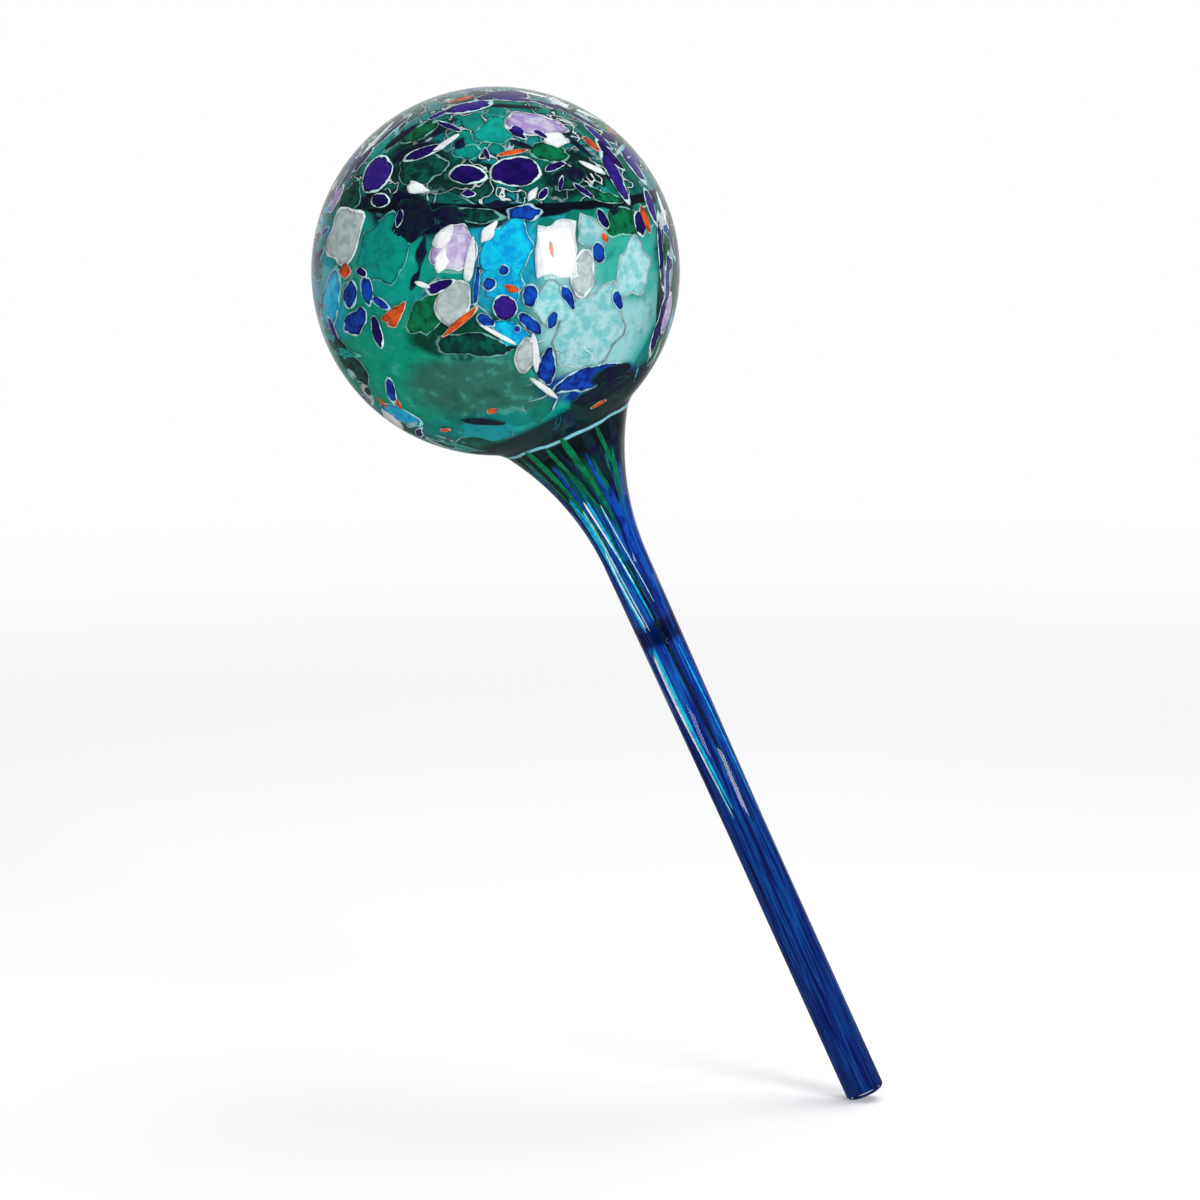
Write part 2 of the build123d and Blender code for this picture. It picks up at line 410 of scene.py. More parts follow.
# Clouds in the front view: right, up, half width, half height (shares of the bulb's radius), colour
cloud_shares = [
    (-0.60, -0.52, 0.44, 0.46, (0.001, 0.440, 0.270)),
    (-0.60, 0.05, 0.24, 0.30, (0.001, 0.480, 0.380)),
    (0.05, 0.02, 0.24, 0.34, (0.006, 0.460, 0.680)),
    (0.55, -0.28, 0.36, 0.40, (0.420, 0.800, 0.820)),
    (0.74, 0.04, 0.22, 0.24, (0.050, 0.540, 0.460)),
    (-0.14, -0.40, 0.30, 0.13, (0.001, 0.080, 0.045)),
    (-0.13, -0.66, 0.38, 0.19, (0.040, 0.200, 0.150)),
    (-0.93, -0.12, 0.12, 0.40, (0.015, 0.480, 0.620)),
    (0.52, -0.62, 0.28, 0.09, (0.004, 0.045, 0.380)),
    (-0.42, 0.22, 0.22, 0.12, (0.004, 0.002, 0.045)),
    (-0.06, 0.25, 0.32, 0.07, (0.001, 0.022, 0.018)),
    (0.95, 0.00, 0.09, 0.62, (0.001, 0.070, 0.075)),
    (0.03, 0.71, 0.18, 0.12, (0.004, 0.500, 0.400)),
    (-0.40, 0.50, 0.22, 0.14, (0.001, 0.050, 0.035)),
    (0.44, 0.44, 0.20, 0.10, (0.001, 0.045, 0.035)),
]

# The change of looks at the water's level and the painted shade of a dark line along its edge, in millimetres
# up from it
waterline = water_above_middle / mm
above_fade = 0.6
line_start, line_full, line_fade, line_end = -2.6, -1.9, 0.3, 0.8

# The painted shade round the neck and the painted highlight along the crease, in millimetres down the axis
# from the bulb's middle
neck_shade_start, neck_shade_full, neck_shade_slant = 38.8, 41.5, 0.09
crease_start, crease_end = 46.9, 48.3
crease_fade = 0.4
crease_wander = 0.25
crease_highlight_tint = (0.35, 0.90, 1.0)

material, tree, shader = new_material("marbled_teal_glass")
spot = place_from_bulb(tree)
melted = bent(tree, spot, 0.06, 9.0)
cells = add(tree, "TexVoronoi", Vector=melted, Scale=0.085)
edges = add(tree, "TexVoronoi", {"feature": "DISTANCE_TO_EDGE"}, Vector=melted, Scale=0.085)
pick = add(tree, "SeparateColor", Color=cells.outputs["Color"]).outputs[0]
ground = ramp(tree, pick, ground_tints, "CONSTANT")

# Seams between the melted grains: pale, with a dark line on each side, and broken here and there
broken = between(tree, noise(tree, spot, 0.07, 1.0), 0.46, 0.58)
for wide, thin, colour, most in ((0.075, 0.030, night, 0.8), (0.030, 0.012, pale_edge, 1.0)):
    seam = between(tree, edges.outputs["Distance"], thin, wide, most, 0.0)
    ground = mix(tree, work_out(tree, "MULTIPLY", seam, broken), ground, colour)
drift = bent(tree, spot, 0.045, 12.0)
for *place, colour in cloud_shares:
    ground = mix(tree, soft_spot(tree, drift, *place), ground, colour)
cloud = noise(tree, melted, 0.20, 4.0, 0.6)
ground = mix(tree, between(tree, cloud, 0.48, 0.74, 0.0, 0.7), ground, cloud_shade, "MULTIPLY")
ground = mix(tree, between(tree, cloud, 0.46, 0.28, 0.0, 0.45), ground, cloud_light)

# Above the water the far wall shows through, so the glass looks darker and full of black and white curls
parts = add(tree, "SeparateXYZ", Vector=spot)
aside, height = parts.outputs[0], parts.outputs[2]
above = between(tree, height, waterline - above_fade, waterline + above_fade)
ground = mix(tree, above, ground, air_shade, "MULTIPLY")
curl = noise(tree, bent(tree, spot, 0.12, 7.0), 0.14, 2.5)
off_curl = work_out(tree, "ABSOLUTE", work_out(tree, "SUBTRACT", curl, 0.5))
curl_patch = between(tree, noise(tree, spot, 0.055), 0.42, 0.52, 0.3, 1.0)
curled = work_out(tree, "MULTIPLY", above, curl_patch)
for wide, thin, colour in ((0.060, 0.024, night), (0.017, 0.008, white_curl)):
    share = between(tree, off_curl, thin, wide, 1.0, 0.0)
    ground = mix(tree, work_out(tree, "MULTIPLY", share, curled), ground, colour)

# Painted shade gives a dark line at the water's edge and the darkest glass round the neck, and a painted
# highlight runs along the crease
wander = between(tree, noise(tree, spot, 0.05), 0.35, 0.65, -1.1, 0.9)
line_height = work_out(tree, "ADD", height, wander)
# Painted shade: a dark line along the water's edge
line_bottom = between(tree, line_height, waterline + line_start, waterline + line_full)
line_top = between(tree, height, waterline + line_fade, waterline + line_end, 1.0, 0.0)
ground = mix(tree, work_out(tree, "MULTIPLY", line_bottom, line_top), ground, night)
down_axis = add(tree, "VectorMath", {"operation": "DOT_PRODUCT"}, i0=spot, i1=-bulb_middle.normalized())
down_axis = down_axis.outputs["Value"]
# Painted shade: the glass darkens round the neck, under the bulb
slanted = work_out(tree, "MULTIPLY_ADD", aside, neck_shade_slant, down_axis)
ground = mix(tree, between(tree, slanted, neck_shade_start, neck_shade_full, 0.0, 0.93), ground, night)
# Painted highlight: a bright thin line along the crease between bulb and neck
wander = between(tree, broken, 0.0, 1.0, -crease_wander, crease_wander)
uneven = work_out(tree, "ADD", down_axis, wander)
crease_highlight_top = between(tree, uneven, crease_start, crease_start + crease_fade)
crease_highlight_bottom = between(tree, uneven, crease_end - crease_fade, crease_end, 1.0, 0.0)
ground = mix(tree, work_out(tree, "MULTIPLY", crease_highlight_top, crease_highlight_bottom), ground, crease_highlight_tint)
tree.links.new(ground, shader.inputs["Base Color"])
let_light_through(shader, gather_clearness, gather_roughness, layer_index)
bm = make_layer(gather_depth, gather_thickness, bulb_level - gather_end_drop, globe_top)
finish_piece(bm, "teal_gather", material, "teal", "glass_body")

# The chips
# Broken coloured glass that the hot gather was rolled over. Each chip melted in flush and its corners
# flowed, so it's a rounded lens with a thin pale edge, and a larger one lies deeper than a small one.
chip_depth = 0.20 * mm
chip_sink = 0.15 * mm
chip_thickness = 0.38 * mm
patch_depth = 0.75 * mm
patch_thickness = 0.24 * mm
chip_roughness = 0.2
corner_share = 0.80

# Rows of patches and chips give place right and up in the front view, half length and half width (shares of
# the bulb's radius), turn of the length from level (degrees), corners (0 is round, -4 has its sides along
# the length) and narrowing to one end. The patches lie deepest.
patch_shares = {
    "teal": [
        (-0.59, 0.07, 0.22, 0.150, 80, 5, 0.1), (0.02, 0.72, 0.15, 0.095, 10, 4, 0.0),
        (-0.62, 0.66, 0.14, 0.050, 44, 0, 0.2), (-0.14, 0.60, 0.10, 0.045, 5, 5, 0.0),
    ],
    "emerald": [
        (0.925, 0.020, 0.300, 0.020, 89, 0, 0.0), (-0.720, 0.600, 0.160, 0.018, 50, 0, 0.0),
        (0.620, 0.740, 0.150, 0.018, -42, 0, 0.0), (0.870, -0.420, 0.120, 0.016, 66, 0, 0.0),
        (0.30, 0.60, 0.13, 0.060, -8, 5, 0.2), (0.69, 0.23, 0.085, 0.080, 4, -4, 0.0),
        (-0.36, -0.28, 0.13, 0.100, 60, 5, 0.0), (-0.40, 0.72, 0.12, 0.040, 28, 0, 0.0),
        (0.60, 0.36, 0.10, 0.030, -10, 0, 0.0),
    ],
    "pine": [
        (-0.385, 0.51, 0.15, 0.100, 10, 5, 0.0), (-0.10, -0.44, 0.24, 0.070, -3, 5, 0.1),
        (-0.10, 0.25, 0.19, 0.050, -4, 5, 0.2), (0.40, 0.44, 0.09, 0.055, 10, 5, 0.0),
        (-0.78, 0.36, 0.12, 0.070, 60, 4, 0.0), (0.54, 0.38, 0.11, 0.035, -20, 4, 0.0),
        (-0.56, 0.78, 0.10, 0.022, 38, 0, 0.0),
    ],
    "ink": [
        (-0.430, 0.235, 0.150, 0.120, 62, 5, 0.1), (-0.380, 0.060, 0.100, 0.030, 80, 4, 0.3),
        (-0.220, 0.250, 0.140, 0.055, -8, 4, 0.2), (0.410, 0.470, 0.110, 0.055, 14, 5, 0.2),
        (-0.430, 0.610, 0.150, 0.036, 20, 0, 0.2), (-0.630, 0.350, 0.100, 0.060, 18, 5, 0.0),
        (0.640, -0.640, 0.260, 0.036, 29, 0, 0.1), (0.650, 0.290, 0.050, 0.028, 70, 4, 0.0),
        (-0.280, 0.735, 0.110, 0.024, 34, 4, 0.0), (-0.180, 0.640, 0.050, 0.034, 60, 4, 0.0),
        (0.150, 0.640, 0.070, 0.016, -20, 0, 0.0), (0.690, 0.400, 0.140, 0.018, -64, 0, 0.0),
        (-0.500, 0.700, 0.130, 0.018, 36, 0, 0.0), (0.460, 0.640, 0.090, 0.014, -42, 0, 0.0),
        (0.060, 0.865, 0.200, 0.012, -3, 0, 0.0), (0.900, -0.100, 0.300, 0.018, 86, 0, 0.0),
        (0.020, 0.310, 0.090, 0.022, 4, 4, 0.0), (-0.415, -0.090, 0.080, 0.020, 66, 4, 0.2),
    ],
    "cyan": [
        (0.075, 0.07, 0.185, 0.155, 75, 5, 0.1), (-0.88, -0.17, 0.17, 0.055, 80, 0, 0.1),
        (0.10, -0.38, 0.15, 0.070, -25, 4, 0.0), (0.05, -0.12, 0.13, 0.120, 0, 5, 0.0),
    ],
    "aqua": [
        (0.53, -0.33, 0.25, 0.190, 60, 5, 0.1), (0.75, -0.02, 0.18, 0.100, 85, 5, 0.1),
        (0.33, -0.22, 0.14, 0.120, 30, 5, 0.0), (0.53, 0.16, 0.13, 0.080, -60, 4, 0.1),
        (0.44, -0.50, 0.11, 0.070, 10, 5, 0.0), (0.955, 0.060, 0.180, 0.009, 88, 0, 0.0),
        (0.400, 0.855, 0.150, 0.010, -26, 0, 0.0), (-0.810, 0.470, 0.140, 0.010, 60, 0, 0.0),
    ],
    "cobalt": [
        (0.51, -0.60, 0.22, 0.065, 22, 4, 0.3), (0.17, 0.265, 0.11, 0.050, 6, 5, 0.0),
    ],
}

# The chips, which lie over the patches, just under the skin
chip_shares = {
    "ink": [
        (0.630, -0.575, 0.120, 0.036, 25, 0, 0.2), (0.570, -0.660, 0.180, 0.022, 27, 0, 0.1),
        (-0.060, -0.835, 0.120, 0.018, -4, 0, 0.0),
    ],
    "navy": [
        (0.12, 0.487, 0.137, 0.086, 2, 0, 0.0), (-0.132, 0.470, 0.105, 0.055, -3, 0, 0.1),
        (-0.500, 0.240, 0.050, 0.020, 78, 0, 0.0), (0.250, 0.700, 0.050, 0.014, -30, 0, 0.0),
        (-0.605, 0.342, 0.052, 0.042, 0, 0, 0.0), (-0.130, 0.365, 0.045, 0.026, 0, 4, 0.0),
        (0.330, 0.520, 0.060, 0.022, 22, 0, 0.2), (0.268, 0.365, 0.040, 0.022, 60, 0, 0.0),
        (-0.280, -0.127, 0.085, 0.032, 22, 0, 0.4), (0.585, 0.240, 0.060, 0.026, -62, 0, 0.0),
        (0.783, 0.227, 0.075, 0.030, -80, 0, 0.0), (-0.704, -0.042, 0.034, 0.022, -40, 0, 0.0),
        (-0.622, -0.361, 0.090, 0.028, -75, 0, 0.0), (-0.370, 0.600, 0.120, 0.030, 18, 0, 0.2),
        (0.620, 0.600, 0.120, 0.022, -48, 0, 0.0), (-0.035, 0.584, 0.040, 0.014, -70, 0, 0.0),
        (0.870, -0.360, 0.120, 0.018, 72, 0, 0.0), (0.480, 0.390, 0.070, 0.016, -35, 0, 0.0),
        (0.360, 0.425, 0.045, 0.014, 80, 0, 0.0), (-0.240, 0.745, 0.080, 0.016, -25, 0, 0.0),
        (0.125, 0.700, 0.062, 0.018, -30, 0, 0.0), (0.300, 0.875, 0.120, 0.012, -14, 0, 0.0),
        (-0.700, 0.590, 0.100, 0.016, 52, 0, 0.0), (0.895, 0.080, 0.220, 0.014, -86, 0, 0.0),
        (0.905, -0.240, 0.160, 0.014, 75, 0, 0.0), (0.945, 0.180, 0.140, 0.010, -78, 0, 0.0),
        (-0.560, 0.730, 0.160, 0.012, 42, 0, 0.0), (0.450, 0.810, 0.180, 0.012, -30, 0, 0.0),
        (-0.770, 0.530, 0.180, 0.012, 56, 0, 0.0),
    ],
    "violet": [
        (-0.137, 0.857, 0.140, 0.034, 12, 0, 0.0), (-0.626, 0.489, 0.115, 0.075, 60, 0, 0.0),
        (0.650, 0.480, 0.170, 0.034, -63, 0, 0.2), (0.735, 0.570, 0.150, 0.024, -55, 0, 0.0),
        (0.064, -0.241, 0.068, 0.068, 0, 0, 0.0), (-0.870, -0.330, 0.080, 0.014, -68, 0, 0.0),
        (0.100, 0.905, 0.130, 0.014, -4, 0, 0.0), (0.840, 0.330, 0.110, 0.020, -72, 0, 0.0),
        (0.130, 0.720, 0.045, 0.022, -30, 0, 0.0), (-0.300, 0.815, 0.060, 0.014, 24, 0, 0.0),
        (0.560, 0.700, 0.110, 0.016, -42, 0, 0.0), (0.930, -0.060, 0.160, 0.012, 87, 0, 0.0),
    ],
    "lilac": [
        (0.215, 0.755, 0.185, 0.076, -8, 5, 0.1), (-0.205, 0.075, 0.150, 0.130, 72, 5, 0.1),
        (0.925, -0.240, 0.120, 0.020, 78, 0, 0.0),
    ],
    "white": [
        # Partly painted highlight: the first white chip fills the right softbox's square highlight with
        # white, and the chips at -0.260, 0.130 and -0.270, 0.010 whiten the left one
        (0.340, 0.068, 0.108, 0.150, 2, -4, 0.0), (0.330, 0.672, 0.075, 0.045, -12, 5, 0.0),
        (-0.410, 0.402, 0.075, 0.050, -12, 3, 0.0), (0.210, 0.362, 0.052, 0.022, 55, 4, 0.0),
        (-0.120, 0.010, 0.120, 0.026, 82, 0, 0.3), (0.225, -0.480, 0.020, 0.110, 6, 0, 0.0),
        (0.530, 0.520, 0.080, 0.014, -25, 0, 0.0), (-0.260, 0.645, 0.100, 0.014, 34, 0, 0.0),
        (-0.260, 0.130, 0.080, 0.050, 50, 5, 0.1), (-0.020, 0.160, 0.080, 0.034, 52, 4, 0.2),
        (-0.370, -0.120, 0.050, 0.014, -20, 0, 0.0), (0.270, -0.660, 0.090, 0.016, -35, 0, 0.0),
        (-0.270, 0.010, 0.075, 0.045, 75, 4, 0.1), (0.030, -0.385, 0.110, 0.012, -28, 0, 0.0),
        (-0.640, 0.690, 0.150, 0.008, 47, 0, 0.0), (0.240, 0.935, 0.130, 0.007, -13, 0, 0.0),
        (0.910, 0.300, 0.130, 0.008, -72, 0, 0.0),
    ],
    "grey": [
        (-0.800, 0.160, 0.150, 0.086, 70, -4, -0.15), (0.479, -0.055, 0.138, 0.062, 84, 0, 0.1),
        (-0.208, -0.215, 0.130, 0.090, 66, 0, 0.1), (0.170, -0.490, 0.100, 0.052, 76, 0, 0.0),
    ],
    "cobalt": [
        (0.561, 0.057, 0.060, 0.038, -80, 0, 0.0), (0.663, -0.190, 0.058, 0.028, -75, 0, 0.0),
        (0.200, -0.177, 0.064, 0.046, 80, 0, 0.0), (0.061, -0.045, 0.030, 0.030, 0, 0, 0.0),
        (-0.017, -0.120, 0.038, 0.038, 0, 0, 0.0), (0.200, -0.326, 0.085, 0.034, -40, 0, 0.2),
        (0.316, -0.305, 0.055, 0.026, 70, 0, 0.0), (0.400, -0.184, 0.080, 0.028, -65, 0, 0.2),
        (0.130, -0.354, 0.020, 0.020, 0, 0, 0.0), (0.288, -0.545, 0.105, 0.048, 80, 0, 0.2),
        (-0.038, -0.310, 0.056, 0.032, -30, 0, 0.1), (-0.768, -0.156, 0.080, 0.040, 85, 0, 0.1),
        (-0.676, -0.142, 0.085, 0.034, -78, 0, 0.2), (-0.740, -0.300, 0.090, 0.066, 60, 5, 0.1),
        (-0.555, -0.666, 0.075, 0.028, -75, 0, 0.0), (-0.085, -0.130, 0.110, 0.016, 84, 0, 0.0),
        (-0.600, -0.210, 0.060, 0.024, -35, 0, 0.0),
    ],
    "orange": [
        (0.521, 0.656, 0.064, 0.016, -40, 0, 0.0), (0.100, 0.592, 0.090, 0.014, 12, 0, 0.0),
        (0.595, 0.139, 0.032, 0.015, -62, 0, 0.0), (0.812, 0.250, 0.080, 0.019, -72, 0, 0.2),
        (0.103, -0.142, 0.050, 0.024, -22, 4, 0.0), (-0.177, -0.319, 0.128, 0.020, 39, 0, -0.3),
        (-0.527, -0.276, 0.110, 0.060, 52, 3, 0.0), (-0.796, -0.030, 0.036, 0.050, 0, 4, 0.0),
        (0.312, 0.070, 0.050, 0.012, -80, 0, 0.0), (-0.513, -0.737, 0.032, 0.011, -60, 0, 0.0),
        (-0.010, -0.780, 0.028, 0.015, 10, 0, 0.0), (-0.265, -0.875, 0.030, 0.010, 0, 0, 0.0),
        (0.560, -0.735, 0.050, 0.009, 30, 0, 0.0), (-0.180, 0.905, 0.070, 0.010, 14, 0, 0.0),
    ],
}

# Each glass: its tint, the tint of its cloudy heart, that of its edge, how much light passes, and how
# dark the painted shade beside the edge gets
glass_kinds = {
    "teal": ((0.002, 0.560, 0.460), (0.001, 0.380, 0.340), (0.200, 0.800, 0.720), 0.45, 0.5),
    "emerald": ((0.001, 0.280, 0.110), (0.001, 0.120, 0.050), (0.350, 0.850, 0.720), 0.45, 0.6),
    "pine": ((0.001, 0.026, 0.024), (0.001, 0.100, 0.065), (0.180, 0.480, 0.440), 0.25, 0.7),
    "ink": ((0.005, 0.003, 0.030), (0.002, 0.020, 0.024), (0.004, 0.060, 0.060), 0.15, 0.3),
    "cyan": ((0.004, 0.640, 0.860), (0.002, 0.340, 0.760), (0.450, 0.950, 1.000), 0.3, 0.5),
    "aqua": ((0.600, 0.930, 0.950), (0.260, 0.740, 0.760), (0.880, 1.000, 1.000), 0.45, 0.2),
    "cobalt": ((0.004, 0.085, 0.560), (0.004, 0.024, 0.280), (0.550, 0.930, 1.000), 0.3, 0.7),
    "navy": ((0.005, 0.001, 0.070), (0.018, 0.003, 0.130), (0.740, 0.980, 0.980), 0.1, 0.8),
    "violet": ((0.018, 0.006, 0.200), (0.055, 0.016, 0.250), (0.700, 0.950, 1.000), 0.15, 0.8),
    "lilac": ((0.420, 0.290, 0.620), (0.640, 0.600, 0.760), (0.900, 0.920, 0.960), 0.2, 0.4),
    "white": ((0.900, 0.930, 0.920), (0.780, 0.780, 0.840), (0.920, 0.980, 0.980), 0.1, 0.1),
    "grey": ((0.640, 0.700, 0.700), (0.430, 0.510, 0.510), (0.850, 0.940, 0.940), 0.2, 0.3),
    "orange": ((0.800, 0.110, 0.012), (0.480, 0.045, 0.010), (0.880, 0.560, 0.450), 0.1, 0.5),
}

# How dark the darkest chip of a colour gets, and how far a chip's pale edge wanders in and out
tone_shade = (0.5, 0.5, 0.5)
rim_wander = 1.3


def build_melt_group():
    """A shared effect: a chip's colour, clouded inside, with painted shade near its edge and pale along it.
    """
    group = bpy.data.node_groups.new("melted_glass_colour_and_edge_shade", "ShaderNodeTree")
    for name, kind in (("Tint", "NodeSocketColor"), ("Heart Tint", "NodeSocketColor"),
                       ("Edge Tint", "NodeSocketColor"), ("Edge Shade", "NodeSocketFloat")):
        group.interface.new_socket(name=name, in_out="INPUT", socket_type=kind)
    group.interface.new_socket(name="Color", in_out="OUTPUT", socket_type="NodeSocketColor")
    entry = group.nodes.new("NodeGroupInput")
    leave = group.nodes.new("NodeGroupOutput")
    spot = place_from_bulb(group)
    rim = add(group, "Attribute", {"attribute_name": "rim"}).outputs["Fac"]
    tone = add(group, "Attribute", {"attribute_name": "tone"}).outputs["Fac"]
    cloud = noise(group, bent(group, spot, 0.2, 4.0), 0.34, 4.0, 0.65)
    colour = mix(group, between(group, cloud, 0.40, 0.62), entry.outputs["Tint"], entry.outputs["Heart Tint"])
    colour = mix(group, between(group, tone, 0.0, 1.0, 0.0, 0.35), colour, tone_shade, "MULTIPLY")
    # Painted shade inside a chip's edge, as a rounded lens would show
    shade = work_out(group, "MULTIPLY", between(group, rim, 0.15, 0.65), entry.outputs["Edge Shade"])
    colour = mix(group, shade, colour, night)
    wander = work_out(group, "MULTIPLY_ADD", noise(group, spot, 0.38), rim_wander, -rim_wander / 2)
    edge = work_out(group, "ADD", rim, wander)
    colour = mix(group, between(group, edge, 0.66, 0.80), colour, entry.outputs["Edge Tint"])
    group.links.new(colour, leave.inputs["Color"])
    return group


melt_group = build_melt_group()


def make_chip_glass(colour):
    """Coloured glass for chips and patches, lit through as far as its colour lets light pass."""
    tint, heart, edge_tint, clearness, edge_shade = glass_kinds[colour]
    material, tree, shader = new_material(colour + "_glass")
    melt = add(tree, "Group", {"node_tree": melt_group},
               **{"Tint": tint, "Heart Tint": heart, "Edge Tint": edge_tint, "Edge Shade": edge_shade})
    tree.links.new(melt.outputs["Color"], shader.inputs["Base Color"])
    let_light_through(shader, clearness, chip_roughness, layer_index)
    return material


def outline_share(angle, corners, waves):
    """How far out a chip's edge lies at an angle: round or cornered, and a little uneven."""
    share = 1 + sum(size * sin(count * angle + start) for count, size, start in waves)
    if corners:
        step = 2 * pi / abs(corners)
        start = step / 2 if corners < 0 else 0
        flat = cos(step / 2) / cos((angle + start) % step - step / 2)
        if corners < 0:
            flat /= cos(step / 2)
        share *= 1 - corner_share + corner_share * flat
    return share


def chip_direction(right, up, turn, along, aside):
    """The direction from the bulb's middle to a point of a chip, along and aside of the chip's middle."""
    turn = radians(turn)
    return sight_direction(right + along * cos(turn) - aside * sin(turn),
                           up + along * sin(turn) + aside * cos(turn))


# The edge's width, and the most that it takes of a small chip. From these half widths on a chip has more
# rings of faces, and lies deepest.
edge_width = 1.2 * mm
edge_most = 0.5
wide_share = 0.06
large_share = 0.15

# Waves round a chip's edge: how many, and how high as a share of its size
edge_wave_shares = ((2, 0.035), (3, 0.045), (5, 0.03), (8, 0.02))


def add_chip(bm, place, lie, turned_by):
    """Adds one chip: a flattened ball, its edge drawn to the chip's outline, laid into the bulb's skin."""
    right, up, half_length, half_width, turn, corners, narrowing = place
    depth, sink, thickness = lie
    uneven = 1.6 if corners else 0.7
    waves = [(count, size * uneven, chance.uniform(0, 2 * pi)) for count, size in edge_wave_shares]
    tone = chance.random()
    swing = Matrix.Rotation(turned_by, 3, bulb_middle.normalized())
    reach = min(half_length, half_width) * bulb_radius
    lower = sink * min(half_width / large_share, 1)
    steepness = max(reach / edge_width, 1 / edge_most)
    segments = 12 + 2 * round(60 * min(half_length, large_share))
    rings = 6 if half_width > wide_share else 4
    rim_layer, tone_layer = bm.verts.layers.float["rim"], bm.verts.layers.float["tone"]
    ball = bmesh.ops.create_uvsphere(bm, u_segments=segments, v_segments=rings, radius=1)
    for vert in ball["verts"]:
        ring = hypot(vert.co.x, vert.co.y)
        share = outline_share(atan2(vert.co.y, vert.co.x) % (2 * pi), corners, waves)
        along = half_length * vert.co.x * share
        aside = half_width * vert.co.y * share * (1 - narrowing * vert.co.x)
        facing = chip_direction(right, up, turn, along, aside)
        sunk = depth + lower + thickness * (1 - vert.co.z) / 2
        vert[rim_layer] = 1 - (1 - ring) * steepness
        vert[tone_layer] = tone
        vert.co = bulb_middle + (swing @ facing) * (bulb_radius - sunk)


def new_chip_mesh():
    """An empty mesh with the two values that the chips' glass reads."""
    bm = bmesh.new()
    bm.verts.layers.float.new("rim")
    bm.verts.layers.float.new("tone")
    return bm


# Each patch and chip of the front view is repeated behind, a little shifted and turned
chance = random.Random(41)
back_shift = 0.03
back_turn = 25
patch_lie = (patch_depth, 0, patch_thickness)
chip_lie = (chip_depth, chip_sink, chip_thickness)
chip_colours = sorted(set(patch_shares) | set(chip_shares))
chip_meshes = {colour: new_chip_mesh() for colour in chip_colours}
for colour, bm in chip_meshes.items():
    for lie, shares in ((patch_lie, patch_shares), (chip_lie, chip_shares)):
        for place in shares.get(colour, ()):
            add_chip(bm, place, lie, 0)
            shifted = [part + chance.uniform(-back_shift, back_shift) for part in place[:2]]
            turned = place[4] + chance.uniform(-back_turn, back_turn)
            other = (*shifted, place[2], place[3], turned, *place[5:])
            add_chip(bm, other, lie, pi)

# More chips round the sides, the top and the bottom, where the front view and its repeat don't reach
front = sight_direction(0, 0)
front_reach = 0.36
neck_reach = 0.78
stray_reach = 0.9
stray_top = 0.95
stray_shortest, stray_longer, orange_longer = 0.03, 0.12, 0.04
stray_width_shares = (0.18, 0.3, 0.5, 0.75)
stray_tilt = 60
stray_kinds = [
    ("navy", 28), ("violet", 18), ("lilac", 6), ("white", 14), ("grey", 8), ("cyan", 16), ("aqua", 16),
    ("emerald", 24), ("pine", 26), ("cobalt", 20), ("orange", 14), ("teal", 18),
]
upward = bulb_middle.normalized()
repeat = Matrix.Rotation(pi, 3, upward) @ front
for colour, count in stray_kinds:
    longer = orange_longer if colour == "orange" else stray_longer
    made = 0
    while made < count:
        turned_by = chance.uniform(0, 2 * pi)
        half_length = stray_shortest + longer * chance.random() ** 1.6
        half_width = half_length * chance.choice(stray_width_shares)
        place = (chance.uniform(-stray_reach, stray_reach), chance.uniform(-stray_reach, stray_top),
                 half_length, half_width, chance.uniform(-stray_tilt, stray_tilt),
                 chance.choice((0, 0, 4, 5)), chance.uniform(0, 0.3))
        facing = Matrix.Rotation(turned_by, 3, upward) @ sight_direction(*place[:2])
        if hypot(*place[:2]) > stray_reach or -facing.dot(upward) > neck_reach:
            continue
        if max(facing.dot(front), facing.dot(repeat)) > front_reach:
            continue
        add_chip(chip_meshes[colour], place, chip_lie, turned_by)
        made += 1

# The cobalt sheath
# Cobalt glass trailed round the neck and drawn out with it over the whole stem, so its colour runs in
# lengthwise bands from near black to bright blue, with green from the bulb drawn down among them.
sheath_depth = 0.60 * mm
sheath_thickness = 0.7 * mm
sheath_drop = 1 * mm
sheath_top_level = bulb_level - bulb_radius - sheath_drop
sheath_clearness = 0.45
sheath_roughness = 0.2

# Where its looks change: the green of the flare above the stem's top, the painted shade under the bulb's
# crease, the dark band at the joint, and the painted shade over the stem's foot, measured up from the origin
flare_start, flare_full = 10 * mm, 28 * mm
shade_under_bulb_start, shade_under_bulb_full = 7 * mm, 1 * mm
joint_band_drop, joint_band_rise, joint_band_fade = 6 * mm, 3 * mm, 2 * mm
shade_full, shade_end = -10 * mm, 60 * mm
joint_shade = (0.16, 0.20, 0.26)
foot_shade = (0.30, 0.32, 0.42)

# How fast the bands change up the stem, beside once round it
change_up_stem = 7.0

sheath_tints = [
    (0.00, (0.001, 0.002, 0.020)),
    (0.36, (0.002, 0.012, 0.140)),
    (0.47, (0.004, 0.050, 0.420)),
    (0.54, (0.010, 0.190, 0.720)),
    (0.61, (0.003, 0.030, 0.330)),
    (0.74, (0.001, 0.004, 0.050)),
]
flare_tints = [
    (0.00, (0.001, 0.002, 0.015)),
    (0.38, (0.001, 0.004, 0.040)),
    (0.44, (0.001, 0.130, 0.075)),
    (0.50, (0.004, 0.330, 0.220)),
    (0.54, (0.001, 0.020, 0.100)),
    (0.60, (0.001, 0.150, 0.085)),
    (0.68, (0.001, 0.005, 0.035)),
]

